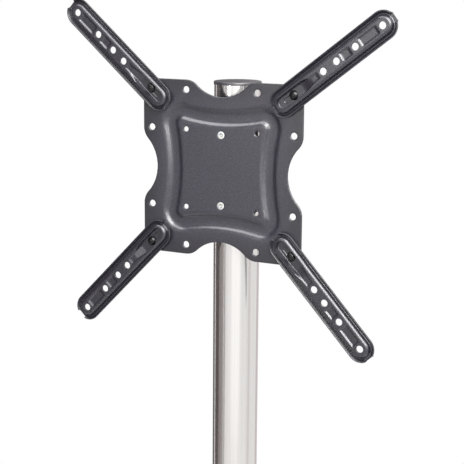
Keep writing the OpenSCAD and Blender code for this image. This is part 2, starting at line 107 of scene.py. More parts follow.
class Finish:  # a material on the Principled shader
    def __init__(self, name, **numbers):
        self.material = bpy.data.materials.new(name)
        self.material.use_nodes = True
        self.tree = self.material.node_tree
        self.shader = self.tree.nodes["Principled BSDF"]
        self.feed(**numbers)

    def node(self, kind, settings=None, values=None, output=0):
        made = self.tree.nodes.new(kind)
        for name, setting in (settings or {}).items():
            setattr(made, name, setting)
        for name, value in (values or {}).items():
            if isinstance(value, Value):
                self.tree.links.new(value.socket, made.inputs[name])
            else:
                made.inputs[name].default_value = value
        return Value(self, made.outputs[output])

    def feed(self, **values):  # baseColor=..., roughness=... go to the shader's own sockets
        for name, value in values.items():
            words = "".join(" " + c if c.isupper() else c for c in name).title()
            socket = self.shader.inputs[words.replace("Ior", "IOR")]
            if isinstance(value, Value):
                self.tree.links.new(value.socket, socket)
            else:
                socket.default_value = value

    def place(self, stretch=(1, 1, 1)):
        where = self.node("ShaderNodeTexCoord", output="Object")
        return self.node("ShaderNodeMapping", {}, {"Vector": where, "Scale": stretch})

    def parts(self):  # x, y and z of the place
        where = self.place()
        return [self.node("ShaderNodeSeparateXYZ", {}, {0: where}, i) for i in range(3)]

    def noise(self, look, stretch=(1, 1, 1)):  # look is its scale, detail and roughness
        scale, detail, roughness = look
        return self.node("ShaderNodeTexNoise", {}, {"Vector": self.place(stretch), "Scale": scale,
                                                    "Detail": detail, "Roughness": roughness})

    def mix(self, share, first, second):
        return self.node("ShaderNodeMix", {"data_type": "RGBA", "clamp_factor": True},
                         {0: share, 6: first, 7: second}, 2)

    def range(self, value, low, high):  # from 0 to 1, with round ends
        return self.node("ShaderNodeMapRange", {"interpolation_type": "SMOOTHSTEP"},
                         {0: value, 1: low, 2: high})

    def relief(self, height, depth, strength=1.0):
        self.feed(normal=self.node("ShaderNodeBump", {}, {"Height": height, "Distance": depth,
                                                          "Strength": strength}))


def colour(r, g, b):
    return (r, g, b, 1.0)


# Coats: their colour in the grain's hollows and, paler, on its crests; depths in metres
plateCoat = {
    "colour": (0.012, 0.011, 0.018), "pale": (0.040, 0.037, 0.052),
    "ior": 1.6, "roughness": 0.33, "grain": (520.0, 3.0, 0.6), "depth": 0.00014,
    # the edge entry is painted shade, darker towards the plate's outline
    "edge": {"reach": (0.080, 0.106), "share": 0.85, "colour": (0.008, 0.007, 0.012)},
}
armCoat = {
    "colour": (0.010, 0.009, 0.015), "pale": (0.020, 0.018, 0.027),
    "ior": 1.6, "roughness": 0.33, "grain": (900.0, 3.0, 0.6), "depth": 0.000004,
}
# The saddle's black matt coat, made darker still as painted shade for the gap behind the plate
shadeMattCoat = {
    "colour": (0.006, 0.006, 0.007), "pale": (0.012, 0.012, 0.013),
    "ior": 1.2, "roughness": 0.8, "grain": (700.0, 3.0, 0.6), "depth": 0.00006,
}
baseCoat = {
    "colour": (0.026, 0.025, 0.030), "pale": (0.040, 0.039, 0.046),
    "ior": 1.6, "roughness": 0.40, "grain": (700.0, 3.0, 0.6), "depth": 0.00005,
}
coatTexture = {
    "peel": (260.0, 2.0, 0.5),
    "cloud": (9.0, 3.0, 0.5),
    "crest": (0.42, 0.68),  # where the grain turns into a crest
    "crestShare": 0.7,  # of the paler colour, the rest is the cloud's
    "crestRough": 0.06,
    "cloudRough": 0.08,
    "heights": (0.7, 0.5),  # of the grain and the peel in the relief
}


def powderCoat(name, look, texture):  # a fine even texture, with slightly paler crests
    finish = Finish(name, ior=look["ior"])
    grain, peel, cloud = (finish.noise(one) for one in (look["grain"], texture["peel"], texture["cloud"]))
    crest = finish.range(grain, *texture["crest"])
    pale = crest * texture["crestShare"] + cloud * (1 - texture["crestShare"])
    tint = finish.mix(pale, colour(*look["colour"]), colour(*look["pale"]))
    if "edge" in look:  # painted shade: the colour is darker towards the plate's outline
        edge = look["edge"]
        across, _, up = finish.parts()
        up = up - plateMid.z
        reach = (across * across).maths("MAXIMUM", up * up) ** 0.5
        far = finish.range(reach, *edge["reach"]) * edge["share"]
        tint = finish.mix(far, tint, colour(*edge["colour"]))
    smooth = look["roughness"] - texture["crestRough"]
    rough = smooth + crest * texture["crestRough"] + cloud * texture["cloudRough"]
    finish.feed(baseColor=tint, roughness=rough)
    high, wide = texture["heights"]
    finish.relief(grain * high + peel * wide, look["depth"])
    return finish.material


# Steel with streaks along the axis that has the smallest stretch
steelTube = {
    "colour": (0.80, 0.79, 0.78), "shade": (0.635, 0.605, 0.59),
    "stretch": (1500, 1500, 5), "fine": (1.0, 3.0, 0.65), "broad": (0.18, 2.0, 0.5),
    "roughness": 0.11, "fineRough": 0.10, "broadRough": 0.05, "depth": 0.00002, "strength": 0.5,
}
steelRing = steelTube | {"stretch": (60, 60, 1500)}


def brushedSteel(name, look):
    finish = Finish(name, metallic=1.0)
    fine, broad = (finish.noise(look[key], look["stretch"]) for key in ("fine", "broad"))
    tint = finish.mix(fine * 0.5 + broad * 0.5, colour(*look["shade"]), colour(*look["colour"]))
    rough = look["roughness"] + fine * look["fineRough"] + broad * look["broadRough"]
    finish.feed(baseColor=tint, roughness=rough)
    finish.relief(fine, look["depth"], look["strength"])
    return finish.material


# Zinc plate; its darkest colour is painted shade, used only on the plate's screws
zinc = {
    "cool": (0.62, 0.64, 0.66), "warm": (0.70, 0.68, 0.60), "paintedShade": (0.03, 0.03, 0.03),
    "cloud": (160.0, 3.0, 0.6), "spread": (0.35, 0.65), "fine": (1400.0, 2.0, 0.6),
    "roughness": 0.26, "cloudRough": 0.12, "fineRough": 0.08, "depth": 0.00002, "strength": 0.6,
}


def zincPlate(name, look, shade=None):  # shade works out the share of painted shade from the place
    finish = Finish(name, metallic=1.0)
    cloud, fine = (finish.noise(look[key]) for key in ("cloud", "fine"))
    tint = finish.mix(finish.range(cloud, *look["spread"]), colour(*look["cool"]), colour(*look["warm"]))
    if shade:
        tint = finish.mix(shade(finish), tint, colour(*look["paintedShade"]))
    rough = look["roughness"] + cloud * look["cloudRough"] + fine * look["fineRough"]
    finish.feed(baseColor=tint, roughness=rough)
    finish.relief(fine, look["depth"], look["strength"])
    return finish.material


# Distances from the screw's axis in metres where shade is painted: the driving socket's ring and the head's
# edge
screwHead = {
    "inner": (0.0009, 0.0014), "outer": (0.0024, 0.0029), "ringShare": 0.6,
    "edge": (0.0044, 0.0050), "edgeShare": 0.85,
}


def screwShade(finish):  # painted shade: dark in the driving socket and round the head's edge
    axis = sum(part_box("upper_plate_screw"), Vector()).z / 2 - plateMid.z
    across, _, up = finish.parts()
    away = (up - plateMid.z).maths("ABSOLUTE") - axis
    radius = (across * across + away * away) ** 0.5
    inner, outer = (finish.range(radius, *screwHead[key]) for key in ("inner", "outer"))
    ring = (inner - outer) * screwHead["ringShare"]
    return ring + finish.range(radius, *screwHead["edge"]) * screwHead["edgeShare"]


plastic = {
    "ior": 1.6, "dark": (0.032, 0.029, 0.035), "pale": (0.044, 0.040, 0.048), "cloud": (30.0, 2.0, 0.5),
    "grain": (1100.0, 2.0, 0.6), "roughness": 0.33, "grainRough": 0.06, "depth": 0.00001, "strength": 0.8,
}
rubber = {
    "ior": 1.45, "dark": (0.022, 0.022, 0.022), "pale": (0.055, 0.053, 0.050), "cloud": (60.0, 3.0, 0.6),
    "spread": (0.45, 0.75),  # of the dust
    "grain": (700.0, 4.0, 0.7), "roughness": 0.72, "grainRough": 0.18, "depth": 0.00008, "strength": 1.0,
}
gloss = {
    "ior": 1.38, "dark": (0.003, 0.003, 0.004), "pale": (0.007, 0.007, 0.008), "cloud": (120.0, 2.0, 0.5),
    "grain": (120.0, 2.0, 0.5), "roughness": 0.16, "grainRough": 0.06,
}
nylon = {
    "ior": 1.53, "dark": (0.66, 0.68, 0.70), "pale": (0.78, 0.79, 0.78), "cloud": (240.0, 3.0, 0.5),
    "grain": (240.0, 3.0, 0.5), "roughness": 0.42, "grainRough": 0.12, "depth": 0.00003, "strength": 1.0,
}


def clouded(name, look):  # two close colours in clouds, under a fine grain
    finish = Finish(name, ior=look["ior"])
    grain, cloud = (finish.noise(look[key]) for key in ("grain", "cloud"))
    pale = finish.range(cloud, *look["spread"]) if "spread" in look else cloud
    finish.feed(baseColor=finish.mix(pale, colour(*look["dark"]), colour(*look["pale"])),
                roughness=look["roughness"] + grain * look["grainRough"])
    if "depth" in look:
        finish.relief(grain, look["depth"], look["strength"])
    return finish.material


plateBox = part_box("mount_plate")
plateMid = sum(plateBox, Vector()) / 2
finishes = {
    "plate": powderCoat("texturedCoat", plateCoat, coatTexture),
    "arm": powderCoat("smoothCoat", armCoat, coatTexture),
    "base": powderCoat("baseCoat", baseCoat, coatTexture),
    "tube": brushedSteel("brushedTube", steelTube),
    "ring": brushedSteel("turnedRing", steelRing),
    "zinc": zincPlate("zincPlate", zinc),
    "screw": zincPlate("screwZinc", zinc, screwShade),
    "shadow": powderCoat("shadeMattCoat", shadeMattCoat, coatTexture),
    "plastic": clouded("mouldedPlastic", plastic),
    "rubber": clouded("blackRubber", rubber),
    "gloss": clouded("glossBlack", gloss),
    "nylon": clouded("whiteNylon", nylon),
}
nodeFinishes = {
    "base_plate": "base", "base_feet": "rubber", "base_collar": "ring", "base_bolts": "zinc",
    "pole_foot": "base", "pole_tube": "tube", "pole_cap": "plastic", "pole_saddle": "shadow",
    "nut_bar": "zinc", "upper_plate_screw": "screw", "lower_plate_screw": "screw", "mount_plate": "plate",
}
for corner in corners:
    for part, finish in {"_arm": "arm", "_bolt": "gloss", "_washer": "zinc", "_nut": "zinc"}.items():
        nodeFinishes[corner + part] = finish
for node, finish in nodeFinishes.items():
    nodes[node].data.materials.clear()
    nodes[node].data.materials.append(finishes[finish])
print("finishes made")


def addPiece(name, data, body, node, crease=None, finish=None):  # with its own finish it replaces nothing
    for face in data.polygons:
        face.use_smooth = True
    if crease:
        data.set_sharp_from_angle(angle=math.radians(crease))
    data.materials.clear()
    data.materials.append(finishes[finish or nodeFinishes[node]])
    piece = bpy.data.objects.new(name, data)
    bpy.context.scene.collection.objects.link(piece)
    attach(piece, body)
    if not finish:
        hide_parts(node)


def meshOf(shape, name, near=1e-6):  # with points and faces in the same order at each run
    bmesh.ops.remove_doubles(shape, verts=shape.verts, dist=near)
    bmesh.ops.recalc_face_normals(shape, faces=shape.faces)
    verts = sorted(shape.verts, key=lambda vert: tuple(vert.co))
    order = {vert: i for i, vert in enumerate(verts)}
    faces = []
    for face in shape.faces:
        ring = [order[vert] for vert in face.verts]
        first = ring.index(min(ring))
        faces.append(ring[first:] + ring[:first])
    data = bpy.data.meshes.new(name)
    data.from_pydata([vert.co for vert in verts], [], sorted(faces))
    shape.free()
    return data


def mergedCopy(node):
    shape = bmesh.new()
    shape.from_mesh(nodes[node].data)
    bmesh.ops.remove_doubles(shape, verts=shape.verts, dist=1e-5)
    return shape


def holderOf(data):
    holder = bpy.data.objects.new(data.name, data)
    bpy.context.scene.collection.objects.link(holder)
    return holder


def modified(holders, name):  # what the first holder's modifiers make of it
    shown = holders[0].evaluated_get(bpy.context.evaluated_depsgraph_get())
    result = bpy.data.meshes.new_from_object(shown)
    for holder in holders:
        data = holder.data
        bpy.data.objects.remove(holder)
        bpy.data.meshes.remove(data)
    result.name = name
    return result


def spun(outline, lay, steps):  # a solid of revolution from (radius, height) points
    shape = bmesh.new()
    verts = [shape.verts.new((r, 0, h)) for r, h in outline]
    ends = verts[1:] + verts[:1] if outline[0][0] > 0 else verts[1:]
    edges = [shape.edges.new(pair) for pair in zip(verts, ends)]
    bmesh.ops.spin(shape, geom=verts + edges, cent=(0, 0, 0), axis=(0, 0, 1), dvec=(0, 0, 0),
                   angle=math.tau, steps=steps, use_merge=True, use_duplicate=False)
    bmesh.ops.remove_doubles(shape, verts=shape.verts, dist=1e-6)
    bmesh.ops.transform(shape, matrix=lay, verts=shape.verts)
    return shape


def join(shape, *others):  # the other shapes go into the first
    for other in others:
        data = bpy.data.meshes.new("part")
        other.to_mesh(data)
        other.free()
        shape.from_mesh(data)
        bpy.data.meshes.remove(data)


def arc(centre, radius, start, end, count):  # points of an arc in an outline, angles in degrees
    turns = [math.radians(start + (end - start) * i / count) for i in range(count + 1)]
    return [(centre[0] + radius * math.cos(t), centre[1] + radius * math.sin(t)) for t in turns]


def rounded(path, count):  # an outline from (radius, height, rounding) corners
    points = []
    for i, (r, h, size) in enumerate(path):
        here = Vector((r, h))
        if not size:
            points.append((r, h))
            continue
        before, after = ((Vector(path[j % len(path)][:2]) - here).normalized() for j in (i - 1, i + 1))
        half = before.angle(after) / 2
        centre = here + (before + after).normalized() * size / math.sin(half)
        start, end = (here + way * size / math.tan(half) - centre for way in (before, after))
        points += [tuple(centre + size * start.slerp(end, k / count).normalized()) for k in range(count + 1)]
    return points


softening = {"flat": 1, "sharp": 28}  # degrees between faces that are joined, and at edges that are rounded


def soften(shape, width, segments):  # flat faces joined, then every sharp edge rounded
    flat, sharp = (math.radians(softening[key]) for key in ("flat", "sharp"))
    bmesh.ops.dissolve_limit(shape, angle_limit=flat, verts=shape.verts, edges=shape.edges)
    edges = [e for e in shape.edges if len(e.link_faces) == 2 and e.calc_face_angle() > sharp]
    bmesh.ops.bevel(shape, geom=edges, offset=width, offset_type="OFFSET", segments=segments, profile=0.5,
                    affect="EDGES", clamp_overlap=True, material=-1)
    return shape


def softCopy(node, width):
    return meshOf(soften(mergedCopy(node), width, segments=3), node + "Soft")


# How each arm lies: x along the arm from its pivot, z out of the plate's face
faceY = plateBox[0].y
joints = {joint["name"]: joint for joint in frame["joints"]}
lays = {}
for corner in corners:
    along = Vector(joints[corner + "_slide"]["axis"]).normalized()
    pivot = Vector(joints[corner + "_swing"]["pos_m"])
    out = Vector((0, -1, 0))
    lay = Matrix((along, out.cross(along), out)).transposed().to_4x4()
    lay.translation = (pivot.x, faceY, pivot.z)
    lays[corner] = lay


# The arm as pressed, in millimetres in its own lay
armSheet = {
    "sheet": 2.0,
    "rise": 8.0,  # of the face over the plate
    "draft": 0.36,  # how far the wall leans out for each millimetre down
    "faceHalf": 10.3,
    "shoulderHalf": 10.7,
    "shoulder": (11.0, 27.0),  # where the face narrows
    "bend": 3.8,  # radius of the face's edge
    "bendShare": 0.75,  # of it, left off the flat part
    "insideBend": 1.0,
    "foot": 0.25,
    "dip": 1.5,  # radius at the wall's foot, where there is room
    "dipRoom": 0.5,
    "dipTurn": 0.7,
    "valley": 0.9,
    "rimFoot": 13.95,
    "rimRun": 2.75,
    "rimHalf": 17.87,
    "rimHeight": 6.1,
    "rimBend": 0.5,
    "rimLow": 4.3,  # underside of the rim's edge
    "lip": 0.3,
    "droop": 0.3,
    "thin": 1e-3,  # least thickness in the rim's gaps
    "cornerSteps": 7,
    "inner": -16.5,
    "holes": (50.0, 70.711, 100.0, 141.421),
    "holeRadius": 4.5,
    "holeEdge": 0.35,
    "holeSteps": 5,
    "pocket": {
        "half": (6.8, 3.13),  # half its width before and after the neck
        "neck": (8.0, 38.0),
        "floor": (2.0, 6.7),  # its height before and after the ramp
        "ramp": (15.0, 33.0),
        "end": 40.6,
    },
    "recesses": ((79.8, 90.9), (109.1, 132.4)),
    "recessHalf": 4.4,
    "recessDepth": 1.8,
    "flare": 0.37,  # how far a pressed wall leans for each millimetre of its depth
    "ease": 1.8,  # its least run
    "easeSpread": (1.5, 0.2),
    "grow": 1.2,  # of the pressed forms on the underside
    "slot": 12.0,
    "slotRadius": 3.25,
    "slotFlare": 0.5,
    "gap": 6.3,  # half of the opening in the rim at each end
    "gapInset": 0.8,
    "gapTurn": 0.8,  # degrees between sections beside a gap
    "gapEdge": 16.33,
    "gapBlock": (4.0, 12.0, 12.0),
    "gapMiddle": 4.0,  # height of its middle
    "past": 1.0,  # how far a cutter goes on past the sheet
    "step": 1.25,
    "innerRows": 26,
    "turnSteps": 48,
    "holeTurns": 64,
    "slotTurns": 48,
}


def eased(t):  # a ramp from 0 to 1 with round ends
    t = min(max(t, 0.0), 1.0)
    return t * t * (3 - 2 * t)


def between(pair, t):
    return pair[0] + (pair[1] - pair[0]) * t


def ramp(x, span):
    return eased((x - span[0]) / (span[1] - span[0]))


def armHeight(x, y, look, grow):  # height of the raised face, with its pocket and recesses pressed into it
    pocket, rise = look["pocket"], look["rise"]
    floor = between(pocket["floor"], ramp(x, pocket["ramp"]))
    half = between(pocket["half"], ramp(x, pocket["neck"]))
    forms = [(x - pocket["end"], y - half, floor)]
    for start, end in look["recesses"]:
        forms.append((max(start - x, x - end), y - look["recessHalf"], rise - look["recessDepth"]))
    wide, shift = look["easeSpread"]
    height = rise
    for along, across, low in forms:
        away = math.hypot(max(along, 0), max(across, 0)) + min(max(along, across), 0) - grow
        run = max(look["flare"] * (rise - low), look["ease"])
        height = min(height, low + (rise - low) * eased(away / (wide * run) + shift))
    return height


def armSection(x, lifted, look):  # the closed sheet from its middle out over the rim and back underneath
    sheet, rise, draft = (look[key] for key in ("sheet", "rise", "draft"))
    face = between((look["shoulderHalf"], look["faceHalf"]), ramp(x, look["shoulder"]))
    slant = look["rimRun"] / (look["rimHeight"] - sheet)
    under = look["rimFoot"] + math.hypot(slant, 1) * sheet - slant * sheet
    inside = face - math.hypot(draft, 1) * sheet + draft * sheet
    rimTop = sheet + (look["rimHeight"] - sheet) * lifted
    low = look["rimLow"] * lifted + look["thin"]
    flat, end = face - look["bend"] * look["bendShare"], face - look["bend"]
    wall = face + draft * (rise - sheet)
    dip = min(look["dip"], (look["rimFoot"] - wall - look["dipRoom"]) / look["dipTurn"])
    nudge = look["thin"] / 10  # keeps the corners of a flat rim off one line
    outline = rounded([
        (flat, rise, 0), (face, rise, look["bend"]), (wall, sheet, dip),
        (look["rimFoot"], sheet + nudge, look["valley"]),
        (look["rimFoot"] + look["rimRun"], rimTop + 2 * nudge, look["rimBend"]),
        (look["rimHalf"], rimTop - look["droop"] * lifted, look["lip"]),
        (look["rimHalf"], low, 0), (under, 0, 0), (inside + draft * (rise - sheet), 0, look["foot"]),
        (inside, rise - sheet, look["insideBend"]), (end, rise - sheet, 0)], look["cornerSteps"])
    rows = look["innerRows"]
    middle = [(flat * i / rows, armHeight(x, flat * i / rows, look, 0)) for i in range(rows)]
    beneath = [(end * (1 - i / rows), armHeight(x, end * (1 - i / rows), look, look["grow"]) - sheet)
               for i in range(rows + 1)]
    return middle + outline[:-1] + beneath


def armStations(look):  # (x, side turned to, rim there) round the arm, from one end's middle back to it
    tip, inner, turn = look["holes"][-1], look["inner"], look["gapTurn"]
    count = round((tip - inner) / look["step"])
    along = [between((inner, tip), i / count) for i in range(1, count)]
    edge = math.degrees(math.asin(look["gap"] / (look["rimHalf"] - look["gapInset"])))
    turns = {90 - 180 * i / look["turnSteps"] for i in range(look["turnSteps"] + 1)}
    turns |= {side * (edge + turn * i) for side in (-1, 1) for i in range(-3, 3)}
    turns = sorted(turns, reverse=True)
    lifts = [eased((abs(way) - edge + 2 * turn) / (3 * turn)) for way in turns]
    stations = [(x, 90, 1) for x in along]
    stations += [(tip, way, lift) for way, lift in zip(turns, lifts)]
    stations += [(x, -90, 1) for x in reversed(along)]
    return stations + [(inner, way - 180, lift) for way, lift in zip(turns, lifts)]


def pressArm(look):
    stations = armStations(look)
    sections = [armSection(x, lifted, look) for x, way, lifted in stations]
    rows, columns = len(sections[0]) - 1, len(stations)
    sheet = bmesh.new()
    bmesh.ops.create_grid(sheet, x_segments=columns, y_segments=rows, size=1)
    for vert in sheet.verts:
        column = round((vert.co.x + 1) / 2 * columns) % columns
        across, height = sections[column][round((vert.co.y + 1) / 2 * rows)]
        x, way, _ = stations[column]
        angle = math.radians(way)
        vert.co = (x + across * math.cos(angle), across * math.sin(angle), height)
    return sheet


def slotCutter(look, radii, middle, depth):  # a long hole, with the radii at its low and high end
    shape = bmesh.new()
    turns = look["slotTurns"]
    lay = Matrix.Translation((0, 0, middle)) @ Matrix.Rotation(math.pi / turns, 4, "Z")
    bmesh.ops.create_cone(shape, cap_ends=True, segments=turns, radius1=radii[0], radius2=radii[1],
                          depth=depth, matrix=lay)
    bmesh.ops.translate(shape, vec=(-look["slot"], 0, 0), verts=[v for v in shape.verts if v.co.x < 0])
    return shape


def armCutters(look):  # the holes with eased edges, the slot, and the straight edges in the rim's gaps
    radius, rise, sheet, past = (look[key] for key in ("holeRadius", "rise", "sheet", "past"))
    above = rise + 2 * past
    path = [(0, -past, 0), (radius, -past, 0), (radius, rise, look["holeEdge"]), (radius + past, rise, 0),
            (radius + past, above, 0), (0, above, 0)]
    hole = rounded(path, look["holeSteps"])
    whole = bmesh.new()
    for x in look["holes"]:
        join(whole, spun(hole, Matrix.Translation((x, 0, 0)), look["holeTurns"]))
    slot, flare = look["slotRadius"], look["slotFlare"]
    join(whole, slotCutter(look, (slot, slot), sheet, 2 * rise),
         slotCutter(look, (slot - flare, slot + 3 * flare), sheet + flare / 2, 4 * flare))
    long, wide, high = look["gapBlock"]
    for x, way in ((look["holes"][-1], 1), (look["inner"], -1)):
        block = bmesh.new()
        bmesh.ops.create_cube(block, size=1)
        bmesh.ops.scale(block, vec=(long, wide, high), verts=block.verts)
        place = (x + way * (look["gapEdge"] + long / 2), 0, look["gapMiddle"])
        bmesh.ops.translate(block, vec=place, verts=block.verts)
        join(whole, block)
    return whole


def cut(shape, cutters, name):  # the shape without what its cutters cover
    holders = [holderOf(meshOf(shape, name, 1e-4)), holderOf(meshOf(cutters, name + "Cutters", 1e-4))]
    carve = holders[0].modifiers.new("carve", "BOOLEAN")
    carve.operation, carve.solver, carve.object = "DIFFERENCE", "EXACT", holders[1]
    return modified(holders, name)


def makeArms(look):
    flat = cut(pressArm(look), armCutters(look), "stampedArm")
    for corner in corners:
        data = flat.copy()
        data.transform(lays[corner] @ Matrix.Scale(0.001, 4))
        addPiece(corner + "_stampedArm", data, corner + "_arm", corner + "_arm", crease=38)
    bpy.data.meshes.remove(flat)


# The plate's even skin, eased as a press leaves it, and once more at the channel
plateSheet = {
    "cell": 0.0008,
    "rounds": 4,
    "kept": 0.5,  # of the skin's faces
    "channel": (0.055, 0.089),  # how far out it lies, in metres
    "channelRounds": 18,
}


def makePlate(look):
    shape = mergedCopy("mount_plate")
    data = bpy.data.meshes.new("pressedPlate")
    shape.to_mesh(data)
    shape.free()
    holder = holderOf(data)
    skin = holder.modifiers.new("skin", "REMESH")
    skin.mode, skin.voxel_size = "VOXEL", look["cell"]
    ease = holder.modifiers.new("ease", "SMOOTH")
    ease.factor, ease.iterations = 0.5, look["rounds"]
    thin = holder.modifiers.new("thin", "DECIMATE")
    thin.ratio = look["kept"]
    data = modified([holder], "pressedPlate")
    shape = bmesh.new()
    shape.from_mesh(data)
    bpy.data.meshes.remove(data)
    start, end = look["channel"]
    near = [v for v in shape.verts if start < max(abs(v.co.x - plateMid.x), abs(v.co.z - plateMid.z)) < end]
    for _ in range(look["channelRounds"]):
        bmesh.ops.smooth_vert(shape, verts=near, factor=0.5, use_axis_x=True, use_axis_y=True,
                              use_axis_z=True)
    addPiece("pressedPlate", meshOf(shape, "pressedPlate"), "stand", "mount_plate")


makePlate(plateSheet)
print("plate pressed")
makeArms(armSheet)
print("arms pressed")

# Heights are out of the plate's face, in metres
pivotBolt = {
    "seat": 0.002,
    "lip": 0.0003,  # how far the head's underside stands in
    "shank": 0.003,
    "neck": 0.0063,
    "neckEdge": 0.0004,
    "thread": 0.00035,
    "pitch": 0.001,
    "threadFrom": -0.004,
    "tail": 1.6,  # threads' depths taken off the end
    "domeSteps": 20,
    "headTurns": 72,  # faces round it
    "shankTurns": 48,
}


def boltHead(look, radius, top, lay):
    rise = top - look["seat"]
    ball = (radius ** 2 + rise ** 2) / (2 * rise)
    end = math.degrees(math.acos(radius / ball))
    dome = arc((0, top - ball), ball, 90, end, look["domeSteps"])
    return spun(dome + [(radius - look["lip"], look["seat"]), (0, look["seat"])], lay, look["headTurns"])


def boltShank(look, tail, lay):
    shank, groove, pitch = look["shank"], look["shank"] - look["thread"], look["pitch"]
    stem = [(0, look["seat"]), (shank, look["seat"]), (shank, look["threadFrom"])]
    for i in range(int((look["threadFrom"] - tail) / pitch) - 1):
        z = look["threadFrom"] - (i + 0.5) * pitch
        stem += [(groove, z), (shank, z - pitch / 2)]
    stem += [(shank - look["thread"] * look["tail"], tail), (0, tail)]
    return spun(stem, lay, look["shankTurns"])


def boltNeck(look, lay):
    neck = bmesh.new()
    bmesh.ops.create_cube(neck, size=1)
    bmesh.ops.scale(neck, vec=(look["neck"], look["neck"], look["seat"]), verts=neck.verts)
    bmesh.ops.translate(neck, vec=(0, 0, look["seat"] / 2), verts=neck.verts)
    soften(neck, look["neckEdge"], segments=2)
    bmesh.ops.transform(neck, matrix=lay, verts=neck.verts)
    return neck


def makeBolts(look):
    for corner in corners:
        bolt, lay = corner + "_bolt", lays[corner]
        low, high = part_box(bolt)
        shape = boltHead(look, (high.x - low.x) / 2, faceY - low.y, lay)
        join(shape, boltShank(look, faceY - high.y, lay), boltNeck(look, lay))
        addPiece(corner + "_domedBolt", meshOf(shape, "domedBolt"), bolt, bolt, crease=32)


makeBolts(pivotBolt)

stampedWasher = {
    "bore": 0.00325,
    "edge": 0.0004,
    "frontBore": 0.0001,  # roundings of the other edges
    "backEdge": 0.0002,
    "backBore": 0.0003,
    "edgeSteps": 4,
    "turns": 96,
}
lockNut = {
    "edge": 0.0003,
    "ring": (0.00312, 0.0039),
    "ringHeight": 0.0011,
    "ringEdge": 0.0002,
    "proud": 0.00004,
    "edgeSteps": 4,
    "turns": 64,
}


def makeWashers(look):
    for corner in corners:
        name = corner + "_washer"
        low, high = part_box(name)
        radius = (high.x - low.x) / 2
        front, back = faceY - low.y, faceY - high.y
        path = [(look["bore"], front, look["frontBore"]), (radius, front, look["edge"]),
                (radius, back, look["backEdge"]), (look["bore"], back, look["backBore"])]
        shape = spun(rounded(path, look["edgeSteps"]), lays[corner], look["turns"])
        addPiece(corner + "_stampedWasher", meshOf(shape, "stampedWasher"), corner + "_bolt", name, crease=40)


def makeNuts(look):
    for corner in corners:
        name = corner + "_nut"
        addPiece(corner + "_lockNut", softCopy(name, look["edge"]), corner + "_bolt", name, crease=40)
        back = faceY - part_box(name)[1].y - look["proud"]
        front = back + look["ringHeight"]
        inner, outer = look["ring"]
        path = [(inner, front, 0), (outer, front, 0), (outer, back, look["ringEdge"]),
                (inner, back, look["ringEdge"])]
        shape = spun(rounded(path, look["edgeSteps"]), lays[corner], look["turns"])
        addPiece(corner + "_nylonRing", meshOf(shape, "nylonRing"), corner + "_bolt", name, crease=40,
                 finish="nylon")


makeWashers(stampedWasher)
makeNuts(lockNut)
print("fasteners made")

softEdges = {"upper_plate_screw": 0.00025, "lower_plate_screw": 0.00025, "base_bolts": 0.0003,
             "pole_saddle": 0.0007}
for node, width in softEdges.items():
    addPiece(node + "_soft", softCopy(node, width), "stand", node, crease=40)

moulding = {
    "edge": 0.0012,
    "wall": 0.0025,
    "lip": 0.003,
    "rim": 0.004,
    "rimEdge": 0.0002,
    "plugEdges": (0.0006, 0.0004),  # outside and inside
    "edgeSteps": 8,
    "turns": 192,
}
trimRing = {
    "gap": 0.0003,  # round the pole
    "cove": 0.58,  # its radius as a share of the ring's height
    "coveSteps": 24,
    "edge": 0.0004,
    "boreEdge": 0.0003,
    "edgeSteps": 4,
    "turns": 192,
}
rubberPad = {
    "count": 6,
    "radius": 0.016,
    "edge": 0.0009,
    "groove": 0.0006,
    "grooves": (0.006, 0.009, 0.012),
    "edgeSteps": 5,
    "turns": 72,
}


def makeCap(look):
    low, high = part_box("pole_cap")
    radius = high.x
    plug = radius - look["lip"]
    bore = plug - look["wall"]
    seat = high.z - look["rim"]
    outside, inside = look["plugEdges"]
    path = [(0, high.z, 0), (radius, high.z, look["edge"]), (radius, seat, look["rimEdge"]), (plug, seat, 0),
            (plug, low.z, outside), (bore, low.z, inside), (bore, seat, 0), (0, seat, 0)]
    shape = spun(rounded(path, look["edgeSteps"]), Matrix(), look["turns"])
    addPiece("mouldedCap", meshOf(shape, "mouldedCap"), "stand", "pole_cap", crease=50)


def makeCollar(look):
    low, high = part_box("base_collar")
    cove = (high.z - low.z) * look["cove"]
    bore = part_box("pole_tube")[1].x + look["gap"]
    path = [(bore, high.z, look["boreEdge"]), (bore, low.z, 0), (high.x, low.z, look["edge"])]
    outline = rounded(path, look["edgeSteps"]) + arc((high.x, high.z), cove, 270, 180, look["coveSteps"])
    shape = spun(outline, Matrix(), look["turns"])
    addPiece("turnedCollar", meshOf(shape, "turnedCollar"), "stand", "base_collar", crease=30)


def makePads(look):
    low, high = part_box("base_feet")
    radius, groove = look["radius"], look["groove"]
    path = [(0, high.z, 0), (radius, high.z, look["edge"] / 2), (radius, low.z, look["edge"])]
    for r in reversed(look["grooves"]):
        path += [(r + groove, low.z, 0), (r, low.z + groove, 0), (r - groove, low.z, 0)]
    path.append((0, low.z, 0))
    outline = rounded(path, look["edgeSteps"])
    whole = bmesh.new()
    for i in range(look["count"]):
        turned = Matrix.Rotation(math.tau * i / look["count"], 4, "Z")
        join(whole, spun(outline, turned @ Matrix.Translation((high.x - radius, 0, 0)), look["turns"]))
    addPiece("rubberPads", meshOf(whole, "rubberPads"), "stand", "base_feet", crease=40)


makeCap(moulding)
makeCollar(trimRing)
makePads(rubberPad)
print("stand dressed")


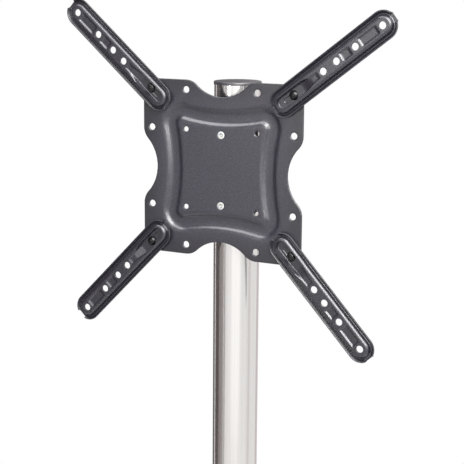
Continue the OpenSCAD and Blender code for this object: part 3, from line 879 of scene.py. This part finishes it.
# Azimuths are in degrees round from the front, to the right; sizes in metres
studio = {
    "floorSize": 60.0,
    "floorShade": 0.86,
    "paleFrom": 0.9,  # the floor turns to plain white this far out
    "paleTo": 1.5,
    "daylight": 0.28,
    "lamps": {
        "front": {"azimuth": 22, "elevation": 11, "distance": 3.0, "size": (2.9, 2.5), "power": 22},
        "key": {"azimuth": 50, "elevation": 45, "distance": 2.2, "size": (2.0, 2.0), "power": 110},
        "sheen": {"azimuth": 50, "elevation": 45, "distance": 2.2, "size": (2.3, 2.1), "power": 285},
        "brow": {"azimuth": 34, "elevation": 26, "distance": 2.4, "size": (1.1, 1.1), "power": 185},
        "top": {"azimuth": -48, "elevation": 58, "distance": 2.2, "size": (1.3, 0.7), "power": 26},
        "fill": {"azimuth": -15, "elevation": 3, "distance": 2.6, "size": (0.35, 0.5), "power": 5.0},
    },
    "unreflected": ("front",),
    "reflectedOnly": ("sheen", "brow"),
    "flagHeight": 2.4,
    "flags": {
        "bright": {"azimuth": 24, "distance": 1.8, "width": 1.5, "shade": (1.25, 1.25, 1.25)},
        "edge": {"azimuth": -132, "distance": 1.3, "width": 1.17, "shade": (0.132, 0.12, 0.12)},
        "dark": {"azimuth": -82, "distance": 1.3, "width": 0.80, "shade": (0.122, 0.10, 0.10)},
        "grey": {"azimuth": -53.5, "distance": 1.4, "width": 0.52, "shade": (0.335, 0.30, 0.29)},
        "thin": {"azimuth": -32.5, "distance": 1.5, "width": 0.15, "shade": (0.125, 0.11, 0.10)},
        "right": {"azimuth": 97, "distance": 1.3, "width": 0.25, "shade": (0.775, 0.735, 0.735)},
        "rear": {"azimuth": 170, "distance": 1.3, "width": 1.0, "shade": (0.705, 0.655, 0.66)},
    },
}


def makeSheet(name, size, lay):  # a flat sheet that belongs to the studio
    grid = bmesh.new()
    bmesh.ops.create_grid(grid, x_segments=1, y_segments=1, size=0.5)
    bmesh.ops.scale(grid, vec=(*size, 1), verts=grid.verts)
    bmesh.ops.transform(grid, matrix=lay, verts=grid.verts)
    data = bpy.data.meshes.new(name)
    grid.to_mesh(data)
    grid.free()
    sheet = bpy.data.objects.new(name, data)
    bpy.context.scene.collection.objects.link(sheet)
    return sheet


def makeFloor(look):
    floor = makeSheet("studioFloor", (look["floorSize"], look["floorSize"]), Matrix())
    shade = look["floorShade"]
    finish = Finish("floorPaper", baseColor=colour(shade, shade, shade), roughness=0.9)
    reach = finish.node("ShaderNodeVectorMath", {"operation": "LENGTH"}, {0: finish.place()}, "Value")
    away = finish.range(reach, look["paleFrom"], look["paleTo"])
    rays = [finish.node("ShaderNodeLightPath", output=name)
            for name in ("Is Camera Ray", "Is Glossy Ray", "Is Transmission Ray")]
    seen = (rays[0] + rays[1] + rays[2]) * away
    glow = finish.node("ShaderNodeEmission", {}, {"Color": colour(1, 1, 1), "Strength": 1.0})
    paper = Value(finish, finish.shader.outputs[0])
    both = finish.node("ShaderNodeMixShader", {}, {0: seen, 1: paper, 2: glow})
    output = finish.tree.nodes["Material Output"]
    finish.tree.links.new(both.socket, output.inputs["Surface"])
    floor.data.materials.append(finish.material)


def makeWorld(look):  # white to the camera and in reflections, and dimmer as light
    world = bpy.data.worlds.new("paleStudio")
    world.use_nodes = True
    bpy.context.scene.world = world
    tree = world.node_tree
    path = tree.nodes.new("ShaderNodeLightPath")
    first, second = (tree.nodes.new("ShaderNodeMath") for _ in range(2))
    tree.links.new(path.outputs["Is Camera Ray"], first.inputs[0])
    tree.links.new(path.outputs["Is Glossy Ray"], first.inputs[1])
    tree.links.new(first.outputs[0], second.inputs[0])
    tree.links.new(path.outputs["Is Transmission Ray"], second.inputs[1])
    first.use_clamp = second.use_clamp = True
    strength = tree.nodes.new("ShaderNodeMapRange")
    tree.links.new(second.outputs[0], strength.inputs[0])
    strength.inputs["To Min"].default_value = look["daylight"]
    tree.links.new(strength.outputs[0], tree.nodes["Background"].inputs["Strength"])
    tree.nodes["Background"].inputs["Color"].default_value = colour(1, 1, 1)


def around(azimuth, elevation, distance, centre):
    a, e = math.radians(azimuth), math.radians(elevation)
    away = Vector((math.sin(a) * math.cos(e), -math.cos(a) * math.cos(e), math.sin(e)))
    return Vector(centre) + distance * away


def facing(place, away):  # a lay at the place, with its z pointing away
    return Matrix.Translation(place) @ away.to_track_quat("Z", "Y").to_matrix().to_4x4()


def makeLamp(name, look, centre, shiny, plain):  # seen in reflections, and giving light
    data = bpy.data.lights.new(name, "AREA")
    data.shape = "RECTANGLE"
    data.size, data.size_y = look["size"]
    data.energy = look["power"]
    lamp = bpy.data.objects.new(name, data)
    bpy.context.scene.collection.objects.link(lamp)
    lamp.visible_glossy, lamp.visible_diffuse = shiny, plain
    place = around(look["azimuth"], look["elevation"], look["distance"], centre)
    lamp.matrix_world = facing(place, place - centre)


def makeFlag(name, look, height):  # a card that only reflections see
    place = around(look["azimuth"], 0, look["distance"], (0, 0, height / 2))
    flag = makeSheet(name, (look["width"], height), facing(place, Vector((place.x, place.y, 0))))
    flag.visible_camera = flag.visible_diffuse = flag.visible_shadow = flag.visible_transmission = False
    finish = Finish(name, baseColor=colour(0, 0, 0), specularIorLevel=0.0, roughness=1.0,
                    emissionColor=colour(*look["shade"]), emissionStrength=1.0)
    flag.data.materials.append(finish.material)


makeFloor(studio)
makeWorld(studio)
for name, look in studio["lamps"].items():
    shiny, plain = name not in studio["unreflected"], name not in studio["reflectedOnly"]
    makeLamp(name + "Lamp", look, plateMid, shiny, plain)
for name, look in studio["flags"].items():
    makeFlag(name + "Flag", look, studio["flagHeight"])
bpy.context.scene.view_settings.view_transform = "Standard"
print("studio lit")
